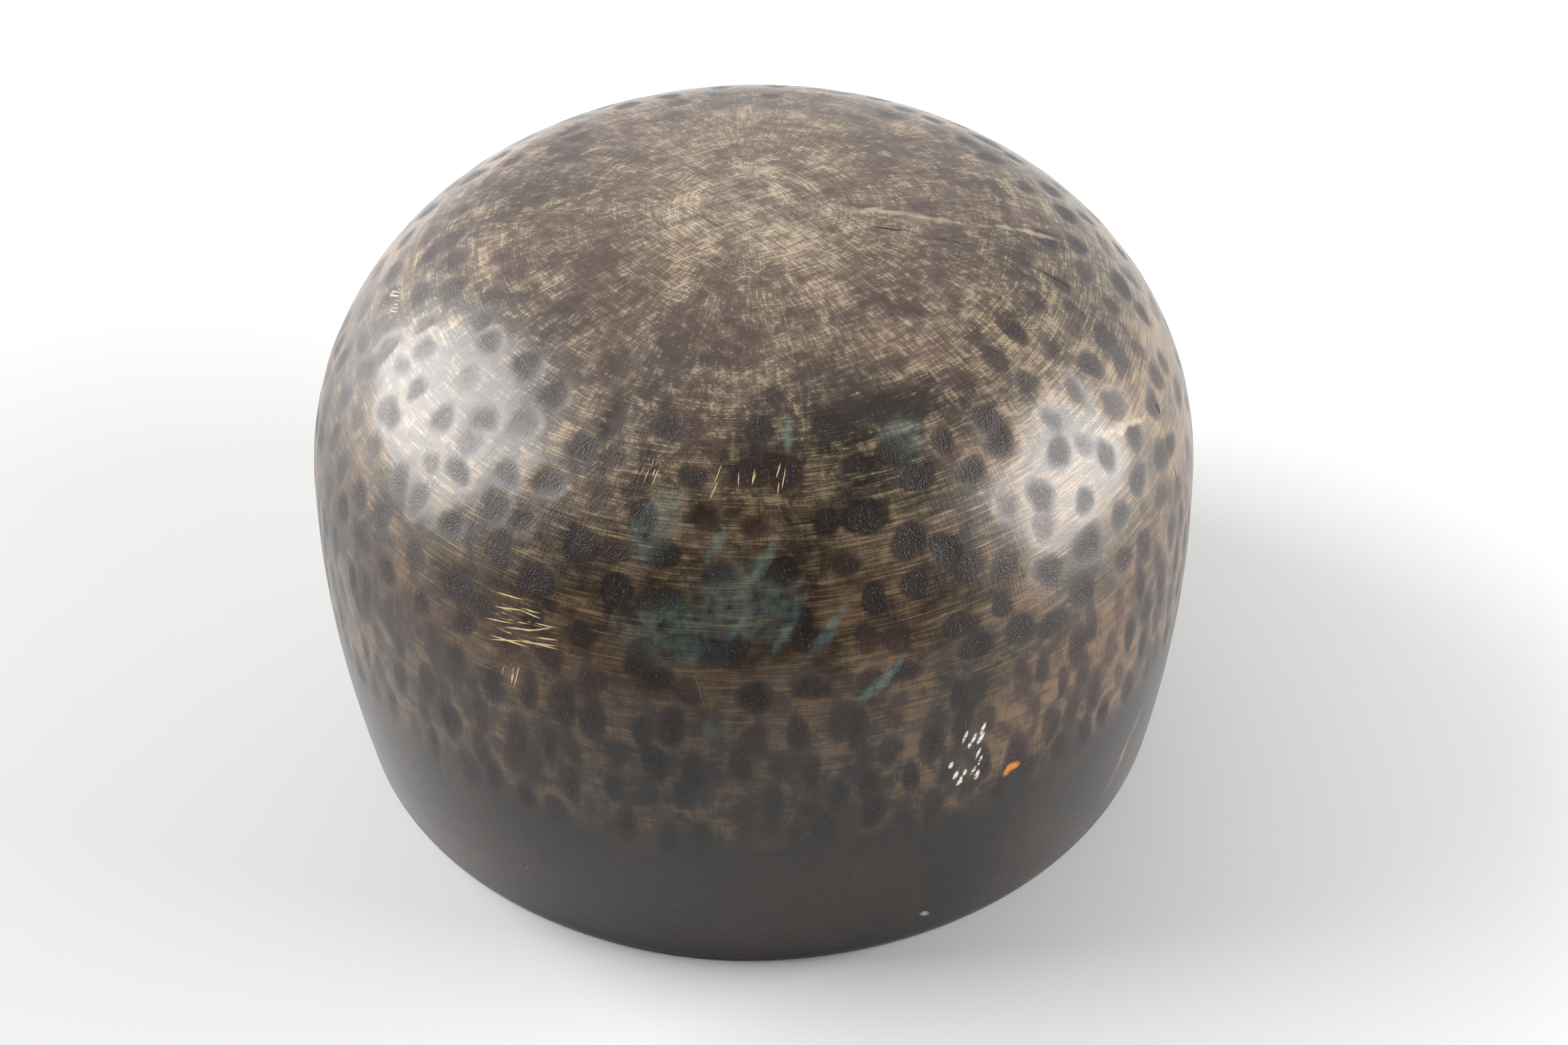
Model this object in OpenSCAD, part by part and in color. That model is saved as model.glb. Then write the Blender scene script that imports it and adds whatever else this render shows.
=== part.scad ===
// Hammered metal bowl, raised from one round of sheet, standing mouth down on its lip.
// Z is the bowl's axis. The lip lies on z = 0 and the crown, which is the bowl's base, is on top.
// The outside is three arcs that run into each other: wall, shoulder and crown.
// The hammer marks are under half a millimetre deep, so the solid holds the surface they are beaten into.

/* [Overall] */
// Widest diameter of the outside
bowl_d = 260; // [220:1:320]
// Height from the lip to the top of the crown
bowl_h = 173; // [140:1:215]

/* [Outline] */
// How far the widest place lies below the top of the crown
belly_drop = 107; // [93:1:133]
// Radius of the arc that the wall bulges along
wall_r = 400; // [250:1:600]
// Radius of the arc between the wall and the crown
shoulder_r = 80; // [50:1:98]
// Radius of the arc over the crown
crown_r = 280; // [170:1:400]

/* [Metal] */
// Thickness of the metal in the wall, shoulder and crown
metal_t = 2.6; // [1.5:0.1:4]
// How much thicker the lip is, where the edge is beaten back on itself
lip_extra = 1; // [0.4:0.1:3]
// Height of the thickened lip
lip_h = 10; // [5:0.5:20]
// Height over which the lip thins down to the wall
lip_taper_h = 8; // [4:0.5:16]
// Width of the bevel filed on both edges of the lip
bevel = 0.8; // [0.4:0.1:1.2]

/* [Finish] */
// Colour of the brown patina
patina = [0.27, 0.21, 0.17];
// Number of flats that OpenSCAD draws a full circle with
facets = 200; // [80:4:256]

/* [Hidden] */

// How far a cutting shape reaches past what it cuts
over = 2;
// How far surfaces run past each other, so that they cross cleanly where they would only touch
ease = 0.02;

belly_r = bowl_d / 2;
belly_z = bowl_h - belly_drop;
wall_c = [belly_r - wall_r, belly_z];
crown_c = [0, bowl_h - crown_r];
shoulder_c = outer_crossing(crown_c, crown_r - shoulder_r, wall_c, wall_r - shoulder_r);

// Angles, from horizontal, of the lines on which the shoulder hands over to the wall and the crown
wall_end = angle_of(shoulder_c - wall_c);
crown_end = angle_of(shoulder_c - crown_c);

// Thickness of the lip, and its radii where it meets the surface that it stands on
lip_t = metal_t + lip_extra;
lip_out_r = wall_radius(0, 0);
lip_in_r = wall_radius(0, lip_t);

// Direction of a flat vector, in degrees
function angle_of(v) = atan2(v[1], v[0]);

// Where the circles about a and b cross, on the side away from the axis
function outer_crossing(a, ra, b, rb) =
    let (
        d = norm(b - a),
        along = (ra * ra - rb * rb + d * d) / (2 * d),
        across = sqrt(ra * ra - along * along),
        u = (b - a) / d
    )
    a + along * u + across * [u[1], -u[0]];

// Radius of the wall at a height, at a depth below the outside
function wall_radius(z, depth) =
    wall_c[0] + sqrt(pow(wall_r - depth, 2) - pow(z - wall_c[1], 2));

module disc(centre, r) {
    translate(centre)
        circle(r = r, $fn = facets);
}

// The corner outside the shoulder, which the wall's and the crown's arcs would run on into
module corner(depth) {
    difference() {
        translate(shoulder_c)
            polygon([
                [0, 0],
                bowl_d * [cos(wall_end), sin(wall_end)],
                bowl_d * [cos(crown_end), sin(crown_end)]
            ]);
        disc(shoulder_c, shoulder_r - depth + ease);
    }
}

// Half of the bowl's section, filled solid, at a depth below the outside
module half_section(depth) {
    difference() {
        intersection() {
            square([bowl_d, bowl_h + over]);
            disc(wall_c, wall_r - depth);
            disc(crown_c, crown_r - depth);
        }
        corner(depth);
    }
}

// Extra metal inside the lip, buried as far as the middle of the wall
module lip_section() {
    top = lip_h + lip_taper_h;
    polygon([
        [lip_in_r, 0],
        [wall_radius(0, metal_t / 2), 0],
        [wall_radius(top, metal_t / 2), top],
        [wall_radius(top, metal_t - ease), top],
        [wall_radius(lip_h, lip_t), lip_h]
    ]);
}

// What the file takes off the lip's outer and inner edges
module bevel_cuts() {
    polygon([
        [lip_out_r - bevel, 0],
        [lip_out_r + over, bevel + over],
        [lip_out_r + over, -over],
        [lip_out_r - bevel, -over]
    ]);
    polygon([
        [lip_in_r + bevel, 0],
        [lip_in_r - over, bevel + over],
        [lip_in_r - over, -over],
        [lip_in_r + bevel, -over]
    ]);
}

module section() {
    difference() {
        union() {
            difference() {
                half_section(0);
                half_section(metal_t);
            }
            lip_section();
        }
        bevel_cuts();
    }
}

module bowl() {
    color(patina)
        rotate_extrude($fn = facets)
            section();
}

bowl();
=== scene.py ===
"""A deep bowl beaten from one round of bronze, standing mouth down on its lip.

The bowl is one piece of metal. Its outline is drawn as a line of points and spun about its axis, the band
that takes the hammer is divided finer, and the metal is then beaten mark by mark. The patina, the rubbed
high ground, the scratches and the stains are one layered material for the outside, with a plainer one inside.
"""

import math
import random
from collections import namedtuple

import bpy
import numpy as np
from mathutils import Matrix, Vector, noise


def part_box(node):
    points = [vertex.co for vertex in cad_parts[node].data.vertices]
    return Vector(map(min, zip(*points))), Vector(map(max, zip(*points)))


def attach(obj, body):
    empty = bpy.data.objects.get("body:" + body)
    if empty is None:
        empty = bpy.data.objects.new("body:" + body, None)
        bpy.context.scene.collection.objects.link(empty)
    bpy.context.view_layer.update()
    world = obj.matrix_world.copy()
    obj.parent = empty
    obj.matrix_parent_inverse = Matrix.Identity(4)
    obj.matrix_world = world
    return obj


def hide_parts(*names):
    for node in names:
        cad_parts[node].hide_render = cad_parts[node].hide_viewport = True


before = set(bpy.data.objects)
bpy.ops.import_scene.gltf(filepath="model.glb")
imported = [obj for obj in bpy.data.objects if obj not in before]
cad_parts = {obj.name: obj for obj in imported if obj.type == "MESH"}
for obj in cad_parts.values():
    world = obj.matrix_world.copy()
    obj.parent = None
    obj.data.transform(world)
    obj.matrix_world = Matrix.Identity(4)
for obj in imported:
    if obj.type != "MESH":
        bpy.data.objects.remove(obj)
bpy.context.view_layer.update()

# ---------------------------------------------------------------- sizes, in metres, from the frame

BOWL_LOW, BOWL_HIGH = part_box("bowl")
BELLY_R = (BOWL_HIGH[0] - BOWL_LOW[0]) / 2
BOWL_H = BOWL_HIGH[2] - BOWL_LOW[2]

BELLY_Z = 0.5077 * BELLY_R
WALL_R = 3.0769 * BELLY_R
SHOULDER_R = 0.6154 * BELLY_R
CROWN_R = 2.1538 * BELLY_R
METAL_T = 0.02 * BELLY_R
LIP_T = 0.0277 * BELLY_R
LIP_H = 0.077 * BELLY_R
LIP_TAPER_H = 0.0615 * BELLY_R
LIP_BEVEL = 0.006 * BELLY_R

SPIN_STEPS = 300
OUTER_STEP = 0.02 * BELLY_R
INNER_STEP = 0.054 * BELLY_R

# Heights along the outside, measured over the metal from the lip
RIM_BAND_TOP = 0.42 * BELLY_R
BEATEN_TOP = 1.5 * BELLY_R

MM = 0.001
BELLY_MM = BELLY_R / MM


def polar(centre, radius, angle):
    return centre[0] + radius * math.cos(angle), centre[1] + radius * math.sin(angle)


def outer_crossing(a, ra, b, rb):
    """Where the circles about a and b cross, on the side away from the axis."""
    gap = math.dist(a, b)
    along = (ra * ra - rb * rb + gap * gap) / (2 * gap)
    across = math.sqrt(ra * ra - along * along)
    ux, uz = (b[0] - a[0]) / gap, (b[1] - a[1]) / gap
    return a[0] + along * ux + across * uz, a[1] + along * uz - across * ux


WALL_C = (BELLY_R - WALL_R, BELLY_Z)
CROWN_C = (0.0, BOWL_H - CROWN_R)
SHOULDER_C = outer_crossing(CROWN_C, CROWN_R - SHOULDER_R, WALL_C, WALL_R - SHOULDER_R)
LIP_ANGLE = -math.asin(BELLY_Z / WALL_R)
WALL_END = math.atan2(SHOULDER_C[1] - WALL_C[1], SHOULDER_C[0] - WALL_C[0])
CROWN_END = math.atan2(SHOULDER_C[1] - CROWN_C[1], SHOULDER_C[0] - CROWN_C[0])

WALL_ARC = WALL_R * (WALL_END - LIP_ANGLE)
SHOULDER_ARC = SHOULDER_R * (CROWN_END - WALL_END)
CROWN_ARC = CROWN_R * (math.pi / 2 - CROWN_END)
TOTAL_ARC = WALL_ARC + SHOULDER_ARC + CROWN_ARC


def section_point(arc, depth=0.0):
    """(radius, height) on the bowl's section, at a way up from the lip and a depth into the metal."""
    if arc <= WALL_ARC:
        return polar(WALL_C, WALL_R - depth, LIP_ANGLE + arc / WALL_R)
    if arc <= WALL_ARC + SHOULDER_ARC:
        return polar(SHOULDER_C, SHOULDER_R - depth, WALL_END + (arc - WALL_ARC) / SHOULDER_R)
    rest = arc - WALL_ARC - SHOULDER_ARC
    return polar(CROWN_C, CROWN_R - depth, CROWN_END + rest / CROWN_R)


def arc_of(r, z):
    """For arrays of radius and height: the way up from the lip, the depth into the metal and the normal."""
    at_shoulder = np.arctan2(z - SHOULDER_C[1], r - SHOULDER_C[0])
    on_wall = at_shoulder < WALL_END
    on_crown = at_shoulder > CROWN_END
    cx = np.where(on_wall, WALL_C[0], np.where(on_crown, CROWN_C[0], SHOULDER_C[0]))
    cz = np.where(on_wall, WALL_C[1], np.where(on_crown, CROWN_C[1], SHOULDER_C[1]))
    radius = np.where(on_wall, WALL_R, np.where(on_crown, CROWN_R, SHOULDER_R))
    angle = np.arctan2(z - cz, r - cx)
    arc = np.where(
        on_wall,
        (angle - LIP_ANGLE) * WALL_R,
        np.where(
            on_crown,
            WALL_ARC + SHOULDER_ARC + (angle - CROWN_END) * CROWN_R,
            WALL_ARC + (angle - WALL_END) * SHOULDER_R,
        ),
    )
    depth = radius - np.hypot(r - cx, z - cz)
    return arc, depth, np.cos(angle), np.sin(angle)


# ---------------------------------------------------------------- the bowl's metal


def metal_thickness(arc):
    """Thick at the lip, where the edge is beaten back on itself, and even above it."""
    if arc <= LIP_H:
        return LIP_T
    if arc >= LIP_H + LIP_TAPER_H:
        return METAL_T
    return LIP_T + (METAL_T - LIP_T) * (arc - LIP_H) / LIP_TAPER_H


def bowl_outline():
    """Half of the bowl's section: down the outside from the crown, round the lip and up the inside."""
    outer_rows = round(TOTAL_ARC / OUTER_STEP)
    inner_rows = round(TOTAL_ARC / INNER_STEP)
    points = [section_point(TOTAL_ARC * (1 - i / outer_rows)) for i in range(outer_rows)]
    lip_out = section_point(0)
    lip_in = section_point(0, LIP_T)
    half = LIP_BEVEL * (1 - math.sqrt(0.5))
    points.append(section_point(LIP_BEVEL))
    points.append((lip_out[0] - half, half))
    points.append((lip_out[0] - LIP_BEVEL, 0.0))
    points.append(((lip_out[0] + lip_in[0]) / 2, 0.0))
    points.append((lip_in[0] + LIP_BEVEL, 0.0))
    points.append((lip_in[0] + half, half))
    for i in range(inner_rows + 1):
        arc = max(TOTAL_ARC * i / inner_rows, LIP_BEVEL)
        points.append(section_point(arc, metal_thickness(arc)))
    return points


def deselect_all():
    for other in bpy.context.selected_objects:
        other.select_set(False)


def spin_metal():
    """Draws the outline as a line of points and spins it about the bowl's axis."""
    deselect_all()
    points = bowl_outline()
    start = (points[0][0], 0.0, points[0][1])
    bpy.ops.mesh.primitive_plane_add(size=OUTER_STEP, location=start)
    bowl = bpy.context.object
    bowl.name = "beaten_bowl"
    bpy.ops.object.transform_apply(location=True, rotation=True, scale=True)
    bpy.ops.object.mode_set(mode="EDIT")
    bpy.ops.mesh.merge(type="CENTER")
    for (r0, z0), (r1, z1) in zip(points, points[1:]):
        step = (r1 - r0, 0.0, z1 - z0)
        bpy.ops.mesh.extrude_region_move(TRANSFORM_OT_translate={"value": step})
    bpy.ops.mesh.select_all(action="SELECT")
    bpy.ops.mesh.spin(steps=SPIN_STEPS, angle=math.tau, center=(0, 0, 0), axis=(0, 0, 1))
    bpy.ops.mesh.select_all(action="SELECT")
    bpy.ops.mesh.remove_doubles(threshold=0.01 * MM)
    bpy.ops.mesh.normals_make_consistent(inside=False)
    bpy.ops.object.mode_set(mode="OBJECT")
    return bowl


def face_places(bowl):
    """Arc and depth of every face's middle."""
    middles = np.empty(len(bowl.data.polygons) * 3)
    bowl.data.polygons.foreach_get("center", middles)
    middles = middles.reshape(-1, 3)
    arc, depth, _, _ = arc_of(np.hypot(middles[:, 0], middles[:, 1]), middles[:, 2])
    return arc, depth


def divide_beaten_band(bowl):
    """Divides the faces of the outside that take the hammer, so that each mark has a shape."""
    arc, depth = face_places(bowl)
    beaten = (depth < METAL_T / 2) & (arc > RIM_BAND_TOP - OUTER_STEP) & (arc < BEATEN_TOP)
    bpy.ops.object.mode_set(mode="EDIT")
    bpy.ops.mesh.select_mode(type="FACE")
    bpy.ops.mesh.select_all(action="DESELECT")
    bpy.ops.object.mode_set(mode="OBJECT")
    bowl.data.polygons.foreach_set("select", beaten)
    bpy.ops.object.mode_set(mode="EDIT")
    bpy.ops.mesh.subdivide(number_cuts=1)
    bpy.ops.object.mode_set(mode="OBJECT")


# The rows of hammer marks: height, spacing and half sizes in belly radii, and depth in millimetres
Row = namedtuple("Row", "arc pitch half_w half_h depth dark")
WALL_ROWS = 4
SHOULDER_ROWS = 7
CROWN_ROWS = 6

# How unevenly the marks fall: round the bowl as a share of their spacing, and up it in belly radii
STRAY_ROUND = 0.19
STRAY_UP = 0.015

# A mark's shape, as shares of its half size: where its slope starts, how wide that is, and its raised edge
SLOPE_START = 1.25
SLOPE_WIDTH = 0.85
EDGE_PLACE = 1.3
EDGE_WIDTH = 0.16
EDGE_RAISED = 0.05

# How far from its middle a mark can reach, and how much of it shows through on the inside
MARK_REACH = 0.14 * BELLY_R
INSIDE_SHARE = 0.35

# The unevenness of the sheet: long swells, and a short dapple that is fainter below the beaten band
SWELLS_PER_METRE = 22
SWELL_DEPTH = 0.25 * MM
DAPPLES_PER_METRE = 75
DAPPLE_DEPTH = 0.09 * MM
DAPPLE_ON_RIM = 0.25

# Heights over which the dapple comes up to full strength, and over which the lip's edge stays true
DAPPLE_GROWS_OVER = 0.1 * BELLY_R
LIP_TRUE_OVER = 0.02 * BELLY_R


class Mark:
    """One hammer mark: where it is, how big, how deep, and how dark its floor has gone."""

    def __init__(self, dice, arc, turn, half_w, half_h, depth, dark):
        self.arc = arc
        self.turn = turn
        self.half_w = half_w * dice.uniform(0.72, 1.18)
        self.half_h = half_h * dice.uniform(0.74, 1.2)
        self.depth = depth * dice.uniform(0.35, 1.3)
        self.dark = dark * dice.uniform(0.4, 1.0)
        self.lean = dice.uniform(-0.4, 0.4) * min(half_w / half_h, 1)
        self.oval = dice.uniform(0, math.tau)
        self.corner = dice.uniform(0, math.tau)


def hammer_marks():
    """The rows of marks: tall and shallow on the wall, crisp on the shoulder, worn away on the crown."""
    dice = random.Random(9)
    rows = []
    for i in range(WALL_ROWS):
        rows.append(Row(arc=0.46 + 0.094 * i, pitch=0.08, half_w=0.029, half_h=0.062, depth=0.11, dark=0.8))
    for i in range(SHOULDER_ROWS):
        rows.append(Row(arc=0.845 + 0.088 * i, pitch=0.109, half_w=0.04, half_h=0.036, depth=0.23, dark=1.0))
    for i in range(CROWN_ROWS):
        fresh = 1 - i / CROWN_ROWS
        depth = 0.05 + 0.13 * fresh
        dark = 0.1 + 0.4 * fresh
        rows.append(Row(arc=1.46 + 0.09 * i, pitch=0.125, half_w=0.038, half_h=0.034, depth=depth, dark=dark))
    marks = []
    for number, row in enumerate(rows):
        girth = math.tau * section_point(row.arc * BELLY_R)[0]
        count = round(girth / (row.pitch * BELLY_R))
        half_w, half_h = row.half_w * BELLY_R, row.half_h * BELLY_R
        for i in range(count):
            turn = (i + number % 2 / 2 + dice.gauss(0, STRAY_ROUND)) / count * math.tau
            up = (row.arc + dice.gauss(0, STRAY_UP)) * BELLY_R
            marks.append(Mark(dice, up, turn, half_w, half_h, row.depth * MM, row.dark))
    return marks


def mark_field(mark, arc, turn, radius):
    """How far into a mark each point is, from 0 to 1 on its floor, and how far onto its raised edge."""
    across = (turn - mark.turn + math.pi) % math.tau - math.pi
    u = across * radius / mark.half_w
    v = (arc - mark.arc) / mark.half_h
    u, v = u + mark.lean * v, v - mark.lean * u
    way = np.arctan2(v, u)
    shape = 1 + 0.09 * np.cos(2 * way + mark.oval) + 0.07 * np.cos(3 * way + mark.corner)
    rho = np.hypot(u, v) / shape
    floor = np.clip((SLOPE_START - rho) / SLOPE_WIDTH, 0, 1)
    floor = floor * floor * (3 - 2 * floor)
    edge = np.exp(-(((rho - EDGE_PLACE) / EDGE_WIDTH) ** 2))
    return floor, edge


def beat(bowl):
    """Moves the metal: out of round, planished unevenly, and struck with every mark."""
    mesh = bowl.data
    count = len(mesh.vertices)
    places = np.empty(count * 3)
    mesh.vertices.foreach_get("co", places)
    places = places.reshape(-1, 3)
    radius = np.hypot(places[:, 0], places[:, 1])
    turn = np.arctan2(places[:, 1], places[:, 0])
    arc, depth, out_r, out_z = arc_of(radius, places[:, 2])

    floor = np.zeros(count)
    push = np.zeros(count)
    outside = depth < METAL_T / 2
    order = np.argsort(arc)
    sorted_arc = arc[order]
    for mark in hammer_marks():
        low, high = np.searchsorted(sorted_arc, (mark.arc - MARK_REACH, mark.arc + MARK_REACH))
        near = order[low:high]
        into, edge = mark_field(mark, arc[near], turn[near], section_point(mark.arc)[0])
        floor[near] = np.maximum(floor[near], into * mark.dark)
        push[near] -= mark.depth * (into - EDGE_RAISED * edge)
    push *= np.where(outside, 1.0, INSIDE_SHARE)

    swell = np.array([noise.noise(Vector(p) * SWELLS_PER_METRE) for p in places])
    dapple = np.array([noise.noise(Vector(p) * DAPPLES_PER_METRE + Vector((5, 0, 0))) for p in places])
    beaten = np.clip((arc - RIM_BAND_TOP) / DAPPLE_GROWS_OVER, 0, 1)
    dapple *= DAPPLE_ON_RIM + (1 - DAPPLE_ON_RIM) * beaten
    push += swell * SWELL_DEPTH + dapple * DAPPLE_DEPTH
    push *= np.clip(arc / LIP_TRUE_OVER, 0, 1)

    direction = np.stack([out_r * np.cos(turn), out_r * np.sin(turn), out_z], axis=1)
    places += direction * push[:, None]
    mesh.vertices.foreach_set("co", places.ravel())
    store(mesh, "arc", arc)
    store(mesh, "floor", floor * outside)
    mesh.update()


def store(mesh, name, values):
    layer = mesh.attributes.new(name, "FLOAT", "POINT")
    layer.data.foreach_set("value", values)


# ---------------------------------------------------------------- materials


class Finish:
    """A material's nodes, with short names for the ones that are used again and again."""

    def __init__(self, name):
        self.material = bpy.data.materials.new(name)
        self.material.use_nodes = True
        self.tree = self.material.node_tree
        self.shader = self.tree.nodes["Principled BSDF"]

    def node(self, kind, **settings):
        made = self.tree.nodes.new(kind)
        for key, value in settings.items():
            setattr(made, key, value)
        return made

    def plug(self, socket, value):
        if isinstance(value, bpy.types.NodeSocket):
            self.tree.links.new(value, socket)
        else:
            socket.default_value = value

    def math(self, operation, a, b=0.0, c=0.0, clamp=False):
        made = self.node("ShaderNodeMath", operation=operation, use_clamp=clamp)
        for socket, value in zip(made.inputs, (a, b, c)):
            self.plug(socket, value)
        return made.outputs[0]

    def vector(self, operation, *given):
        made = self.node("ShaderNodeVectorMath", operation=operation)
        for socket, value in zip(made.inputs, given):
            self.plug(socket, value)
        return made.outputs["Value" if operation == "LENGTH" else "Vector"]

    def remap(self, value, low, high, to_low=0.0, to_high=1.0):
        made = self.node("ShaderNodeMapRange", interpolation_type="SMOOTHSTEP")
        for socket, given in zip(made.inputs, (value, low, high, to_low, to_high)):
            self.plug(socket, given)
        return made.outputs[0]

    def grain(self, place, size, detail=3.0, roughness=0.55, warp=0.0):
        """Noise whose features are about size across, in the units of place."""
        made = self.node("ShaderNodeTexNoise")
        self.plug(made.inputs["Vector"], place)
        self.plug(made.inputs["Scale"], 1.0 / size)
        self.plug(made.inputs["Detail"], detail)
        self.plug(made.inputs["Roughness"], roughness)
        self.plug(made.inputs["Distortion"], warp)
        return made.outputs["Fac"]

    def grain_colour(self, place, size):
        """The same noise as three unlike channels, to move a pattern about with."""
        made = self.node("ShaderNodeTexNoise")
        self.plug(made.inputs["Vector"], place)
        self.plug(made.inputs["Scale"], 1.0 / size)
        return made.outputs["Color"]

    def strokes(self, wrap, length, width, detail=3):
        """Streaks that run round the bowl."""
        stretched = self.vector("MULTIPLY", wrap, (1 / length, 1 / length, 1 / width))
        return self.grain(stretched, 1.0, detail, 0.65, 0.2)

    def stripes(self, wrap, width, length, detail=3):
        """Streaks that run up the bowl."""
        stretched = self.vector("MULTIPLY", wrap, (1 / width, 1 / width, 1 / length))
        return self.grain(stretched, 1.0, detail, 0.65, 0.2)

    def strokes_across(self, place, turn, length, width):
        """Streaks that run straight, in plan, at an angle in degrees."""
        turned = self.node("ShaderNodeVectorRotate", rotation_type="Z_AXIS")
        self.plug(turned.inputs["Vector"], place)
        self.plug(turned.inputs["Angle"], math.radians(-turn))
        stretched = self.vector("MULTIPLY", turned.outputs[0], (1 / length, 1 / width, 1 / length))
        return self.grain(stretched, 1.0, 3, 0.65, 0.2)

    def about(self, value, gain):
        """Noise made to swing about nought."""
        return self.math("MULTIPLY_ADD", value, gain, -0.5 * gain)

    def add(self, first, *others):
        for other in others:
            first = self.math("ADD", first, other)
        return first

    def largest(self, values):
        """The largest of several values, each compared as it is made."""
        most = 0.0
        for value in values:
            most = self.math("MAXIMUM", most, value)
        return most

    def spots(self, chart, places):
        return self.largest(self.spot(chart, *place) for place in places)

    def spot(self, chart, x, y, half_long, half_wide, lean=0.0, strength=1.0):
        """A soft oval: its middle, its half length and width in millimetres, and its lean in degrees."""
        local = self.node("ShaderNodeMapping", vector_type="TEXTURE")
        self.plug(local.inputs["Vector"], self.vector("MULTIPLY", chart, (1.0, 1.0, 0.0)))
        self.plug(local.inputs["Location"], (x, y, 0.0))
        self.plug(local.inputs["Rotation"], (0.0, 0.0, math.radians(lean)))
        self.plug(local.inputs["Scale"], (half_long, half_wide, 1.0))
        return self.remap(self.vector("LENGTH", local.outputs[0]), 1.0, 0.25, 0.0, strength)

    def scratch_cluster(self, chart, x, y, half_long, half_wide, lean, run):
        """Thin bright scratches that lean together, inside a soft oval."""
        turned = self.node("ShaderNodeVectorRotate", rotation_type="Z_AXIS")
        self.plug(turned.inputs["Vector"], chart)
        self.plug(turned.inputs["Angle"], math.radians(-run))
        lines = self.vector("MULTIPLY", turned.outputs[0], (0.12, 1.6, 0.0))
        lines = self.remap(self.grain(lines, 1.0, 2, 0.6, 0.3), 0.6, 0.68)
        inside = self.spot(chart, x, y, half_long, half_wide, lean, 1.6)
        return self.math("MULTIPLY", lines, inside, clamp=True)

    def flecks(self, dice, chart, group):
        """Small ovals scattered about a place, each with a length and lean of its own."""
        most = 0.0
        for _ in range(group.count):
            x = group.middle[0] + dice.uniform(-group.reach[0], group.reach[0])
            y = group.middle[1] + dice.uniform(-group.reach[1], group.reach[1])
            long = group.half_long * dice.uniform(0.55, 1.2)
            wide = group.half_wide * dice.uniform(0.7, 1.2)
            lean = group.lean + dice.gauss(0, 8)
            most = self.math("MAXIMUM", most, self.spot(chart, x, y, long, wide, lean, 1.5))
        return most

    def attribute(self, name):
        return self.node("ShaderNodeAttribute", attribute_name=name).outputs["Fac"]

    def mix(self, amount, under, over):
        made = self.node("ShaderNodeMix", data_type="RGBA")
        self.plug(made.inputs["Factor"], amount)
        self.plug(made.inputs["A"], under)
        self.plug(made.inputs["B"], over)
        return made.outputs["Result"]

    def zones(self, value, *stops):
        """A height profile: (place, amount) stops with straight runs between them."""
        made = self.node("ShaderNodeValToRGB")
        low, high = stops[0][0], stops[-1][0]
        made.color_ramp.interpolation = "LINEAR"
        marks = made.color_ramp.elements
        while len(marks) < len(stops):
            marks.new(0.5)
        for mark, (place, amount) in zip(marks, stops):
            mark.position = (place - low) / (high - low)
            mark.color = (amount, amount, amount, 1)
        self.plug(made.inputs["Fac"], self.linear(value, low, high))
        return made.outputs["Color"]

    def linear(self, value, low, high):
        made = self.node("ShaderNodeMapRange")
        for socket, given in zip(made.inputs, (value, low, high)):
            self.plug(socket, given)
        return made.outputs[0]


def srgb(r, g, b):
    """A colour as a painter's chart gives it, 0 to 255, made linear."""
    def channel(value):
        value /= 255
        return value / 12.92 if value <= 0.04045 else ((value + 0.055) / 1.055) ** 2.4
    return channel(r), channel(g), channel(b), 1.0


DARK_PATINA = srgb(25, 18, 16)
UMBER_PATINA = srgb(43, 30, 24)
BROWN_PATINA = srgb(68, 49, 41)
RIM_PATINA = srgb(28, 25, 22)
RED_PATINA = srgb(42, 31, 28)
DULL_OCHRE = srgb(102, 80, 58)
OCHRE = srgb(130, 112, 79)
RUST_OCHRE = srgb(110, 86, 60)
PALE_OCHRE = srgb(168, 155, 132)
BARE_BRONZE = srgb(226, 198, 148)
# Painted glints: pale grey specks on the grain of the marks' floors
PAINTED_GLINT_GREY = srgb(150, 146, 148)
VERDIGRIS = srgb(96, 118, 113)
PAINT_WHITE = srgb(214, 208, 200)
PAINT_ORANGE = srgb(190, 114, 40)
CRACK_BLACK = (0.004, 0.003, 0.003, 1.0)


def on_chart(turn, up, *rest):
    """A place on the wrapped chart, in millimetres, from degrees round and belly radii up the metal."""
    return math.radians(turn) * BELLY_MM, up * BELLY_MM, *rest


# What stands out on the outside. Each: degrees round from the right, belly radii up, half length and width
# in millimetres, lean in degrees and strength. On the crown, places are millimetres right and back of the axis
VERDIGRIS_HAZE = [
    on_chart(-99, 0.96, 24, 13, 0, 0.9),
    on_chart(-91, 1.03, 22, 14, 0, 1.0),
    on_chart(-64, 1.31, 12, 8, 0, 0.7),
    on_chart(-103, 1.17, 16, 9, 60, 0.8),
]
VERDIGRIS_SMEARS = [
    on_chart(-83.3, 1.36, 8, 3, 80, 0.6),
    on_chart(-105.8, 1.175, 12, 2.2, 66, 0.45),
    on_chart(-94.5, 1.14, 7, 2.4, 60, 0.6),
    on_chart(-88.4, 1.11, 10, 2.4, 54, 0.55),
    on_chart(-85.6, 0.975, 11, 2.6, 55, 0.65),
    on_chart(-80.6, 0.965, 13, 2.4, 51, 0.8),
    on_chart(-91.5, 0.99, 9, 2.2, 58, 0.45),
    on_chart(-87, 0.87, 8, 2.2, 54, 0.4),
    on_chart(-74.6, 0.84, 11, 2.4, 42, 0.85),
    on_chart(-94.2, 0.756, 4, 5, 0, 0.4),
]
SCRATCH_CLUSTERS = [
    on_chart(-118.5, 0.91, 12, 8, 0, 6),
    on_chart(-105.4, 1.276, 7, 5, 0, 78),
    on_chart(-137.7, 1.539, 7, 3.5, 0, 118),
    on_chart(-175, 1.209, 12, 5, 0, 35),
    on_chart(-119.7, 0.787, 4, 6, 0, 80),
]

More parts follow.
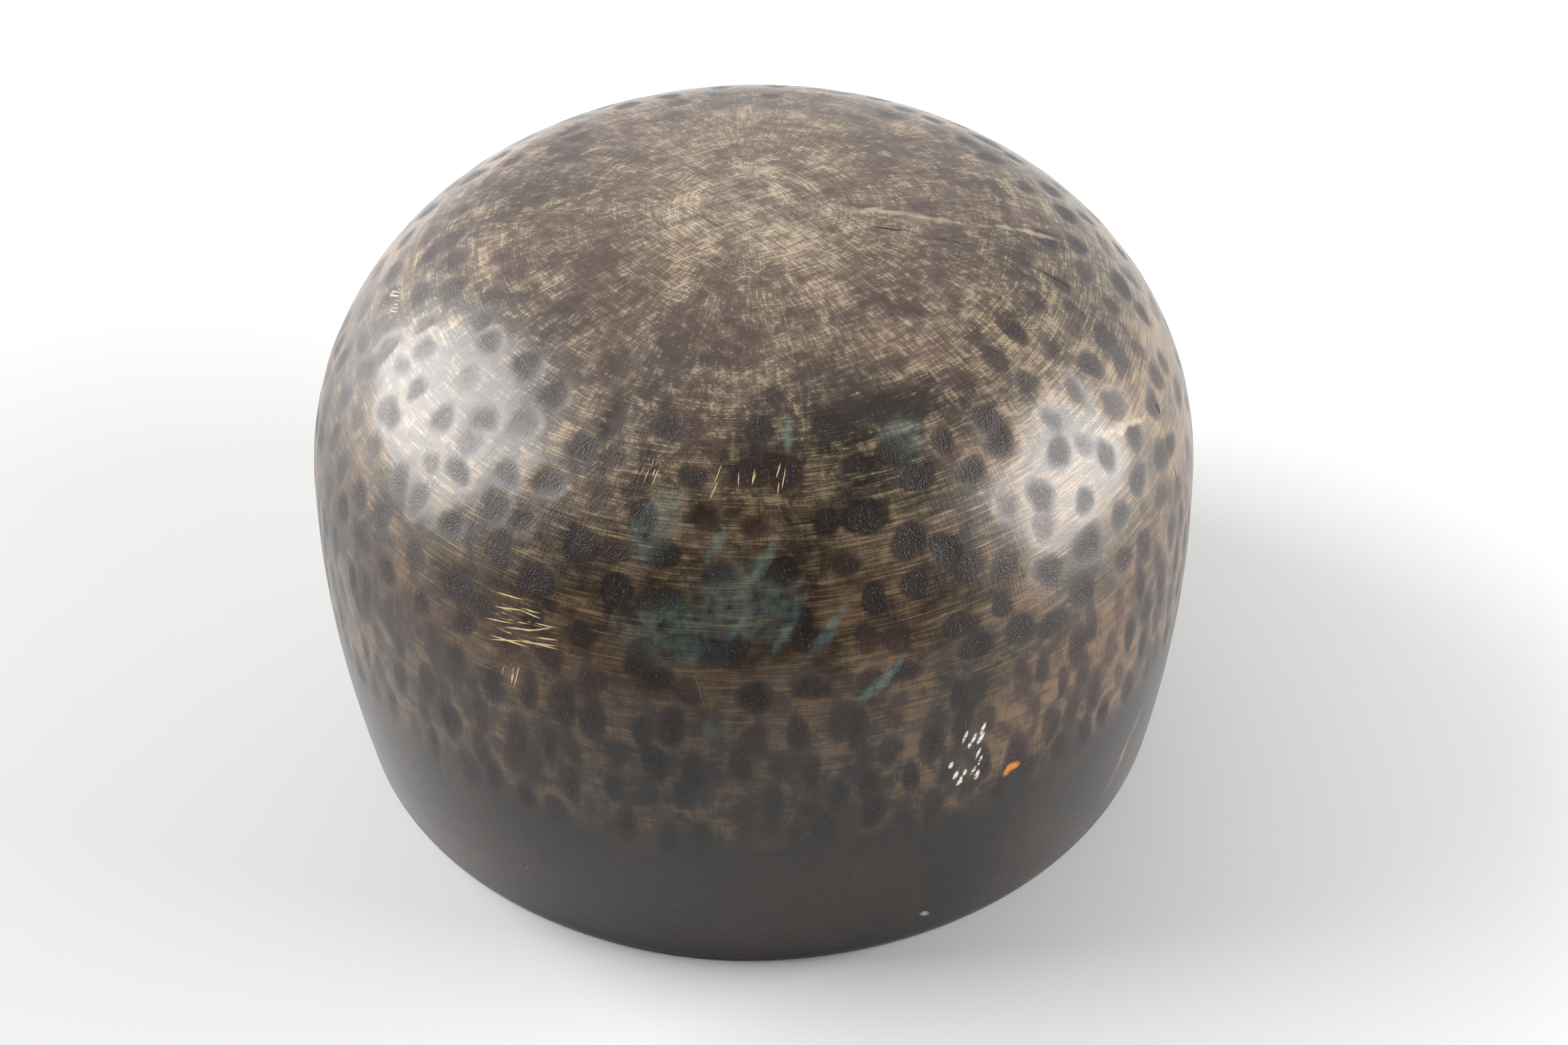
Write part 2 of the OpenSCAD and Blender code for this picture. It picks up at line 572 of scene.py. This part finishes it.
# Groups of small ovals, scattered as far as their reach from the middle, in millimetres
Flecks = namedtuple("Flecks", "middle reach half_long half_wide lean count")
LONG_SCRATCHES = Flecks(on_chart(-118.5, 0.91), (8, 7), 6.0, 0.27, lean=10, count=12)
SHORT_SCRATCHES = Flecks(on_chart(-90, 1.268), (13, 3), 3.2, 0.25, lean=74, count=8)
PAINT_FLAKES = Flecks(on_chart(-64, 0.575), (5.5, 8.5), 2.4, 0.9, lean=66, count=12)

PALE_SPOTS = [
    on_chart(-68.4, 0.089, 2.4, 1.8, 0, 0.5),
    on_chart(-65, 0.515, 2.2, 1, 60, 1.2),
]
ORANGE_FLAKE = on_chart(-57.7, 0.48, 3.6, 1.8, 25, 1.4)
PALE_LINES = [
    on_chart(-26, 1.056, 16, 1.5, -22),
    on_chart(-33.6, 0.2, 20, 1.6, 60, 0.7),
]
CROWN_PALE_LINES = [
    (42, -1, 25, 1.6, -2),
    (76, 1, 20, 1.5, 11),
]
WALL_CRACKS = [
    on_chart(-17.7, 1.001, 2.6, 0.9, 60, 1.5),
    on_chart(-20.3, 0.85, 6, 0.5, 95),
    on_chart(-20.6, 0.75, 4, 0.45, 80),
]
CROWN_CRACKS = [
    (38.5, -8.6, 6.5, 0.55, 1, 1.4),
    (56, -11, 9, 0.45, -7, 0.7),
    (83, -16, 8, 0.5, -13, 1.2),
]


# How the outside changes up the bowl. Each: amounts at heights over the metal from the lip, in millimetres
RUBBED = (
    (0, 0.02), (46, 0.04), (62, 0.4), (84, 0.46), (104, 0.5), (124, 0.54),
    (138, 0.58), (172, 0.56), (184, 0.5), (214, 0.48), (236, 0.58), (262, 0.7),
)
RUBBED_IN_BLOTS = ((0, 0.5), (130, 0.45), (180, 1.0), (262, 0.9))
RUBBED_IN_CRUMBS = ((0, 0.6), (130, 0.5), (180, 0.9), (262, 0.8))
RUBBED_ON_RIDGES = ((0, 0.0), (50, 0.1), (60, 0.36), (88, 0.32), (110, 0.1), (262, 0.0))
KEPT_IN_FLOORS = ((0, 0.5), (50, 0.7), (90, 0.8), (124, 1.05), (180, 0.7), (214, 0.3), (262, 0.2))
HOOPS_SHOW = ((0, 0.3), (60, 0.45), (104, 0.8), (124, 1.1), (180, 1.0), (206, 0.5), (262, 0.2))
STRIPES_SHOW = ((0, 0.2), (60, 0.4), (98, 0.3), (124, 0.3), (180, 0.4), (206, 0.0), (262, 0.0))
RINGS_SHOW = ((0, 0.0), (180, 0.0), (206, 0.2), (222, 0.6), (250, 0.7), (262, 0.1))
SPOKES_SHOW = ((0, 0.0), (150, 0.0), (184, 0.8), (225, 0.9), (250, 0.5), (262, 0.0))
CROSSES_SHOW = ((0, 0.1), (100, 0.1), (150, 0.3), (196, 0.8), (262, 1.1))
RIM_PATINA_SHOWS = ((0, 1.0), (46, 1.0), (64, 0.7), (110, 0.2), (262, 0.0))
BROWN_PATINA_SHOWS = ((0, 0.0), (170, 0.0), (200, 0.4), (225, 0.75), (262, 0.85))
DULL_OCHRE_SHOWS = ((0, 0.9), (90, 0.9), (122, 0.25), (262, 0.0))
PALE_OCHRE_SHOWS = ((0, 0.0), (128, 0.05), (150, 0.25), (225, 0.6), (262, 0.95))
NICKS_SHOW = ((0, 0.5), (110, 0.3), (170, 0.5), (262, 0.7))
ROUGHER = ((0, 0.0), (52, 0.02), (110, 0.08), (150, 0.06), (262, 0.1))

# Painted light and shade: how much more ochre shows for each millimetre to the right of the axis, lightening
# the right side and darkening the left to even out how the lamps light them
PAINTED_LIGHT_TO_RIGHT = 0.0006

# How far fine bumps stand up, and how deep the cracks are next to them
BUMP_HEIGHT = 0.3 * MM
CRACK_DEPTH = -1.2

# The wax on the metal, which lies thinner in the marks' floors
WAX = 0.34
WAX_LOST_IN_FLOORS = 0.6


class OutsideFinish(Finish):
    """Dark brown patina, rubbed through to ochre on the high ground, with streaks, stains and scratches."""

    def __init__(self):
        super().__init__("patinated_bronze")
        self.find_places()
        self.draw_noises()
        self.find_floors()
        self.worn = self.wear()
        colour = self.metal_colour()
        self.find_chart()
        colour = self.stain(colour)
        colour = self.scratch(colour)
        colour = self.stick_paint(colour)
        colour = self.crack(colour)
        self.plug(self.shader.inputs["Base Color"], colour)
        self.polish()
        self.raise_grain()

    def at_height(self, profile):
        return self.zones(self.arc, *profile)

    def find_places(self):
        """Where each point is, in millimetres: in space, over the metal, and wrapped round the bowl."""
        coordinates = self.node("ShaderNodeTexCoord").outputs["Object"]
        self.place = self.vector("MULTIPLY", coordinates, (1 / MM, 1 / MM, 1 / MM))
        self.axes = self.node("ShaderNodeSeparateXYZ")
        self.plug(self.axes.inputs[0], self.place)
        self.arc = self.math("MULTIPLY", self.attribute("arc"), 1 / MM)

        # Round the bowl at the belly's girth, and up over the metal. On the crown the girth is less
        around = self.vector("NORMALIZE", self.vector("MULTIPLY", self.place, (1.0, 1.0, 0.0)))
        around = self.vector("MULTIPLY", around, (BELLY_MM, BELLY_MM, 0.0))
        rise = self.node("ShaderNodeCombineXYZ")
        self.plug(rise.inputs["Z"], self.arc)
        self.wrap = self.vector("ADD", around, rise.outputs[0])
        self.crown_wrap = self.vector("MULTIPLY_ADD", around, (0.38, 0.38, 0.0), rise.outputs[0])

    def draw_noises(self):
        """Strokes of polishing round the bowl, up it and straight across it, and blotches of every size."""
        self.hoops = self.strokes(self.wrap, length=20, width=1.1)
        self.fine_hoops = self.strokes(self.wrap, length=13, width=0.32)
        self.fine_stripes = self.stripes(self.wrap, width=0.4, length=8)
        self.rings = self.strokes(self.crown_wrap, length=16, width=0.8)
        self.spokes = self.stripes(self.crown_wrap, width=0.8, length=5)
        self.cross_a = self.strokes_across(self.place, turn=28, length=13, width=0.35)
        self.cross_b = self.strokes_across(self.place, turn=-48, length=11, width=0.35)
        self.clouds = self.grain(self.place, 34, 3, 0.6, 0.4)
        self.patches = self.grain(self.place, 15, 4, 0.65, 0.8)
        self.blots = self.grain(self.place, 8, 4, 0.65, 0.6)
        self.crumbs = self.grain(self.place, 3, 3, 0.6, 0.3)
        self.specks = self.grain(self.place, 1.1, 3, 0.6)

    def find_floors(self):
        """The marks' floors, with soft ragged edges, and the ridges that stand between them."""
        floor = self.attribute("floor")
        crumbling = self.about(self.crumbs, 0.5)
        ragged = self.add(floor, self.about(self.blots, 0.45), crumbling, self.about(self.specks, 0.3))
        self.floor = self.remap(ragged, 0.05, 0.95)
        self.deep_floor = self.remap(ragged, 0.4, 1.05)
        ridges = self.remap(self.add(floor, crumbling), 0.6, 0.05)
        broken = self.remap(self.add(self.patches, self.about(self.blots, 0.6)), 0.32, 0.6)
        self.ridges = self.math("MULTIPLY", ridges, broken)

    def wear(self):
        """How much of the patina is rubbed off: a thin rub in soft patches, and fine bright lines on it.
        Painted light adds more of it to the right of the axis and less to the left.
        """
        blotting = self.math("MULTIPLY", self.about(self.blots, 1.0), self.at_height(RUBBED_IN_BLOTS))
        crumbling = self.math("MULTIPLY", self.about(self.crumbs, 1.0), self.at_height(RUBBED_IN_CRUMBS))
        patchy = self.add(
            self.at_height(RUBBED),
            self.about(self.clouds, 0.6),
            self.about(self.patches, 0.95),
            # Painted light and shade: more ochre to the right of the axis, less to the left
            self.math("MULTIPLY", self.axes.outputs["X"], PAINTED_LIGHT_TO_RIGHT),
            blotting,
            crumbling,
            self.math("MULTIPLY", self.ridges, self.at_height(RUBBED_ON_RIDGES)),
        )
        kept = self.math("MULTIPLY", self.floor, self.at_height(KEPT_IN_FLOORS))
        patchy = self.math("SUBTRACT", patchy, kept)

        self.hoops_show = self.at_height(HOOPS_SHOW)
        rings_show = self.math("MULTIPLY", self.at_height(RINGS_SHOW), self.remap(self.patches, 0.3, 0.6))
        round_it = self.add(self.about(self.fine_hoops, 2.0), self.about(self.hoops, 1.2))
        across_it = self.add(self.about(self.cross_a, 1.6), self.about(self.cross_b, 1.6))
        strokes = self.add(
            self.math("MULTIPLY", round_it, self.hoops_show),
            self.math("MULTIPLY", self.about(self.fine_stripes, 1.5), self.at_height(STRIPES_SHOW)),
            self.math("MULTIPLY", self.about(self.rings, 2.2), rings_show),
            self.math("MULTIPLY", self.about(self.spokes, 1.8), self.at_height(SPOKES_SHOW)),
            self.math("MULTIPLY", across_it, self.at_height(CROSSES_SHOW)),
        )
        thin_rub = self.remap(self.add(patchy, self.math("MULTIPLY", strokes, 0.4)), 0.2, 1.1)
        lines = self.remap(self.add(patchy, strokes), 0.6, 1.15)
        return self.add(self.math("MULTIPLY", thin_rub, 0.38), self.math("MULTIPLY", lines, 0.62))

    def metal_colour(self):
        """The patina, the ochre where it is worn, and painted glints: pale grey specks on the grain of the
        floors.
        """
        brown = self.mix(self.remap(self.patches, 0.35, 0.65), UMBER_PATINA, BROWN_PATINA)
        patina = self.mix(self.remap(self.clouds, 0.35, 0.65), DARK_PATINA, brown)
        reddened = self.remap(self.add(self.clouds, self.about(self.crumbs, 0.25)), 0.4, 0.66)
        rim_patina = self.mix(reddened, RIM_PATINA, RED_PATINA)
        patina = self.mix(self.at_height(RIM_PATINA_SHOWS), patina, rim_patina)
        patina = self.mix(self.at_height(BROWN_PATINA_SHOWS), patina, BROWN_PATINA)
        patina = self.mix(self.math("MULTIPLY", self.deep_floor, 0.9), patina, DARK_PATINA)

        rusty = self.remap(self.add(self.patches, self.about(self.crumbs, 0.5)), 0.42, 0.66)
        bare = self.mix(rusty, OCHRE, RUST_OCHRE)
        bare = self.mix(self.at_height(DULL_OCHRE_SHOWS), bare, DULL_OCHRE)
        bare = self.mix(self.at_height(PALE_OCHRE_SHOWS), bare, PALE_OCHRE)
        colour = self.mix(self.worn, patina, bare)
        # Painted glints: pale grey specks on the floors' grain, standing in for light caught by it
        painted_glints = self.remap(self.grain(self.place, 0.6, 1, 0.5), 0.58, 0.74)
        painted_glints = self.math("MULTIPLY", painted_glints, self.floor)
        return self.mix(self.math("MULTIPLY", painted_glints, 0.22), colour, PAINTED_GLINT_GREY)

    def find_chart(self):
        """A chart of the outside: round from the right, and up over the metal. The loose one is ragged."""
        turn = self.math("ARCTAN2", self.axes.outputs["Y"], self.axes.outputs["X"])
        chart = self.node("ShaderNodeCombineXYZ")
        self.plug(chart.inputs["X"], self.math("MULTIPLY", turn, BELLY_MM))
        self.plug(chart.inputs["Y"], self.arc)
        self.chart = chart.outputs[0]
        self.wander = self.swing(6, 2.5)
        self.slight = self.swing(2.0, 1.0)
        self.loose_chart = self.vector("ADD", self.vector("ADD", self.chart, self.wander), self.slight)

    def swing(self, size, reach):
        """Moves a chart about, by up to a reach each way."""
        by = self.grain_colour(self.place, size)
        return self.vector("MULTIPLY_ADD", by, (2 * reach, 2 * reach, 0.0), (-reach, -reach, 0.0))

    def stain(self, colour):
        haze = self.math("MULTIPLY", self.spots(self.loose_chart, VERDIGRIS_HAZE), 0.5)
        smears = self.math("MULTIPLY", self.spots(self.loose_chart, VERDIGRIS_SMEARS), 0.9)
        fine, broad = self.about(self.fine_hoops, 1.6), self.about(self.hoops, 0.8)
        streaky = self.add(0.75, fine, self.about(self.crumbs, 2.8), broad)
        green = self.math("MULTIPLY", self.add(haze, smears), streaky, clamp=True)
        off_floors = self.math("MULTIPLY_ADD", self.deep_floor, -0.55, 0.85)
        self.green = self.math("MULTIPLY", green, off_floors)
        return self.mix(self.green, colour, VERDIGRIS)

    def scratch(self, colour):
        self.dice = random.Random(21)
        bright = self.largest(self.scratch_cluster(self.chart, *where) for where in SCRATCH_CLUSTERS)
        long = self.flecks(self.dice, self.chart, LONG_SCRATCHES)
        bright = self.math("MAXIMUM", bright, long)
        short = self.flecks(self.dice, self.chart, SHORT_SCRATCHES)
        bright = self.math("MAXIMUM", bright, short)
        crossing = self.math("MAXIMUM", self.cross_a, self.cross_b)
        nicks = self.remap(self.add(crossing, self.about(self.patches, 0.5)), 0.76, 0.84)
        nicks = self.math("MULTIPLY", nicks, self.at_height(NICKS_SHOW))
        self.bright = self.math("MAXIMUM", bright, nicks)
        return self.mix(self.bright, colour, BARE_BRONZE)

    def stick_paint(self, colour):
        """Flecks of paint stuck to the wall, and lines where the patina has gone pale."""
        broken = self.remap(self.add(self.fine_hoops, self.about(self.specks, 0.8)), 0.35, 0.55)
        flakes = self.math("MULTIPLY", self.flecks(self.dice, self.chart, PAINT_FLAKES), broken)
        self.flakes = self.math("MAXIMUM", flakes, self.spots(self.loose_chart, PALE_SPOTS))
        colour = self.mix(self.flakes, colour, PAINT_WHITE)
        colour = self.mix(self.spot(self.loose_chart, *ORANGE_FLAKE), colour, PAINT_ORANGE)

        on_crown = self.spots(self.vector("ADD", self.place, self.wander), CROWN_PALE_LINES)
        pale = self.math("MAXIMUM", self.spots(self.loose_chart, PALE_LINES), on_crown)
        pale = self.math("MULTIPLY", pale, self.remap(self.blots, 0.3, 0.55), clamp=True)
        return self.mix(self.math("MULTIPLY", pale, 0.5), colour, PALE_OCHRE)

    def crack(self, colour):
        on_wall = self.spots(self.vector("ADD", self.chart, self.slight), WALL_CRACKS)
        on_crown = self.spots(self.vector("ADD", self.place, self.slight), CROWN_CRACKS)
        self.cracks = self.math("MAXIMUM", on_wall, on_crown)
        return self.mix(self.cracks, colour, CRACK_BLACK)

    def polish(self):
        """The sheen: satin under thin wax, bright where it is scratched and matt where it is stained."""
        matt = self.math("MAXIMUM", self.math("MAXIMUM", self.flakes, self.green), self.cracks)
        clean = self.math("SUBTRACT", 1.0, matt)
        metal = self.math("MULTIPLY", self.math("MULTIPLY_ADD", self.worn, 0.12, 0.02), clean)
        metal = self.math("MAXIMUM", metal, self.math("MULTIPLY", self.bright, 0.5))
        self.plug(self.shader.inputs["Metallic"], metal)

        in_floors = self.math("MULTIPLY", self.floor, 0.12)
        rough = self.add(0.28, self.about(self.blots, 0.16), self.about(self.fine_hoops, 0.16), in_floors)
        rough = self.add(rough, self.at_height(ROUGHER))
        self.plug(self.shader.inputs["Roughness"], self.add(rough, self.math("MULTIPLY", matt, 0.2)))

        wax = self.math("MULTIPLY_ADD", self.floor, -WAX_LOST_IN_FLOORS * WAX, WAX)
        self.plug(self.shader.inputs["Coat Weight"], wax)
        self.shader.inputs["Coat Roughness"].default_value = 0.2
        self.shader.inputs["Specular IOR Level"].default_value = 0.32
        self.shader.inputs["Specular Tint"].default_value = (1.0, 0.96, 0.92, 1.0)

    def raise_grain(self):
        """Shagreen in the floors, fine scratches everywhere, and cracks cut in."""
        shagreen_depth = self.math("MULTIPLY_ADD", self.floor, 0.55, 0.04)
        shagreen = self.math("MULTIPLY", self.grain(self.place, 0.52, 1, 0.5), shagreen_depth)
        hoops = self.math("MULTIPLY", self.fine_hoops, self.hoops_show)
        scratched = self.math("MULTIPLY", self.add(hoops, self.fine_stripes, self.cross_a), 0.22)
        cracked = self.math("MULTIPLY", self.cracks, CRACK_DEPTH)
        bump = self.node("ShaderNodeBump")
        self.plug(bump.inputs["Height"], self.add(shagreen, scratched, cracked))
        self.plug(bump.inputs["Distance"], BUMP_HEIGHT)
        self.plug(bump.inputs["Strength"], 1.0)
        self.plug(self.shader.inputs["Normal"], bump.outputs[0])


def inside_finish():
    """Plainer and darker: the patina that the inside keeps, with the marks of the stake."""
    f = Finish("inside_bronze")
    coordinates = f.node("ShaderNodeTexCoord").outputs["Object"]
    place = f.vector("MULTIPLY", coordinates, (1 / MM, 1 / MM, 1 / MM))
    clouds = f.grain(place, 30, 4, 0.6, 0.4)
    blots = f.grain(place, 7, 4, 0.6, 0.5)
    colour = f.mix(f.remap(clouds, 0.35, 0.65), DARK_PATINA, BROWN_PATINA)
    colour = f.mix(f.remap(blots, 0.55, 0.8, 0.0, 0.35), colour, OCHRE)
    f.plug(f.shader.inputs["Base Color"], colour)
    f.plug(f.shader.inputs["Metallic"], f.math("MULTIPLY", blots, 0.4))
    f.plug(f.shader.inputs["Roughness"], f.remap(blots, 0.3, 0.7, 0.36, 0.5))
    return f.material


def dress(bowl):
    """The outside's finish runs over the lip, and the inside's starts past it."""
    bowl.data.materials.clear()
    bowl.data.materials.append(OutsideFinish().material)
    bowl.data.materials.append(inside_finish())
    arc, depth = face_places(bowl)
    inner = ((depth > METAL_T * 0.75) & (arc > LIP_BEVEL)).astype(np.int32)
    bowl.data.polygons.foreach_set("material_index", inner)


# ---------------------------------------------------------------- the stage


# Painted shade: the white floor's colour darkens towards the front and the left, and stays lighter on the
# right to lift the bowl's shadow there, between these places in metres
PAINTED_SHADE_FRONT_LEFT = (0.35, 0.35, 0.347, 1)
PAINTED_SHADE_FRONT_RIGHT = (0.54, 0.54, 0.536, 1)
PAPER_BACK = (0.95, 0.95, 0.95, 1)
LEFT_TO_RIGHT = (-0.3, 0.15)
FRONT_TO_BACK = (0.1, 1.0)

# The room is bright behind the bowl and dim in front: the brightest way, and how the light grows towards it
BRIGHT_WAY = (-0.2, 1.0, 0.0)
DIM_BELOW, BRIGHT_ABOVE = -0.37, 0.5
DIM_ROOM, BRIGHT_ROOM = 0.05, 1.18

CAMERA_PLACE = (0.0658 * BELLY_R, -4.6165 * BELLY_R, 4.4724 * BELLY_R)
CAMERA_TILT = math.radians(48.81)
CAMERA_ROLL = math.radians(-0.74)
LENS_MM = 60
FILM_MM = 36


def studio_floor():
    deselect_all()
    bpy.ops.mesh.primitive_plane_add(size=24, location=(0, 0, 0))
    floor = bpy.context.object
    floor.name = "studio_floor"
    f = Finish("white_paper")
    axes = f.node("ShaderNodeSeparateXYZ")
    f.plug(axes.inputs[0], f.node("ShaderNodeTexCoord").outputs["Object"])
    # Painted shade: darker at the front left, lighter at the front right, white at the back
    front = f.mix(f.remap(axes.outputs["X"], *LEFT_TO_RIGHT), PAINTED_SHADE_FRONT_LEFT, PAINTED_SHADE_FRONT_RIGHT)
    shade = f.mix(f.remap(axes.outputs["Y"], *FRONT_TO_BACK), front, PAPER_BACK)
    f.plug(f.shader.inputs["Base Color"], shade)
    f.plug(f.shader.inputs["Roughness"], 0.7)
    floor.data.materials.append(f.material)


def softbox(name, turn, rise, size, strength):
    """A soft square light that faces the bowl from a direction, both angles in degrees."""
    turn, rise = math.radians(turn), math.radians(rise)
    aim = Vector((0, 0, BOWL_H * 0.8))
    towards = Vector((math.cos(turn) * math.cos(rise), math.sin(turn) * math.cos(rise), math.sin(rise)))
    deselect_all()
    bpy.ops.object.light_add(type="AREA", location=aim + towards * 10 * BELLY_R)
    lamp = bpy.context.object
    lamp.name = name
    lamp.rotation_euler = towards.to_track_quat("Z", "Y").to_euler()
    lamp.data.shape = "SQUARE"
    lamp.data.size = size
    lamp.data.energy = strength * size * size


def studio_light():
    softbox("left_softbox", turn=167, rise=27, size=1.1, strength=41)
    softbox("right_softbox", turn=-4, rise=15, size=0.85, strength=46)
    world = bpy.data.worlds.new("studio_room")
    world.use_nodes = True
    tree = world.node_tree
    facing = tree.nodes.new("ShaderNodeVectorMath")
    facing.operation = "DOT_PRODUCT"
    facing.inputs[1].default_value = BRIGHT_WAY
    tree.links.new(tree.nodes.new("ShaderNodeTexCoord").outputs["Generated"], facing.inputs[0])
    ramp = tree.nodes.new("ShaderNodeMapRange")
    ramp.interpolation_type = "SMOOTHSTEP"
    tree.links.new(facing.outputs["Value"], ramp.inputs["Value"])
    for socket, value in zip(ramp.inputs[1:5], (DIM_BELOW, BRIGHT_ABOVE, DIM_ROOM, BRIGHT_ROOM)):
        socket.default_value = value
    back = tree.nodes["Background"]
    back.inputs["Color"].default_value = (1, 1, 1, 1)
    tree.links.new(ramp.outputs[0], back.inputs["Strength"])
    bpy.context.scene.world = world


def camera():
    deselect_all()
    tilt = Matrix.Rotation(CAMERA_TILT, 4, "X") @ Matrix.Rotation(CAMERA_ROLL, 4, "Z")
    bpy.ops.object.camera_add(location=CAMERA_PLACE, rotation=tilt.to_euler())
    made = bpy.context.object
    made.data.lens = LENS_MM
    made.data.sensor_width = FILM_MM
    made.data.clip_end = 100
    bpy.context.scene.camera = made


# ---------------------------------------------------------------- making it all

camera()
beaten_bowl = spin_metal()
divide_beaten_band(beaten_bowl)
beat(beaten_bowl)
dress(beaten_bowl)
deselect_all()
beaten_bowl.select_set(True)
bpy.context.view_layer.objects.active = beaten_bowl
bpy.ops.object.shade_smooth_by_angle(angle=math.radians(40))
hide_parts("bowl")
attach(beaten_bowl, "root")
studio_floor()
studio_light()
bpy.context.scene.view_settings.view_transform = "Standard"
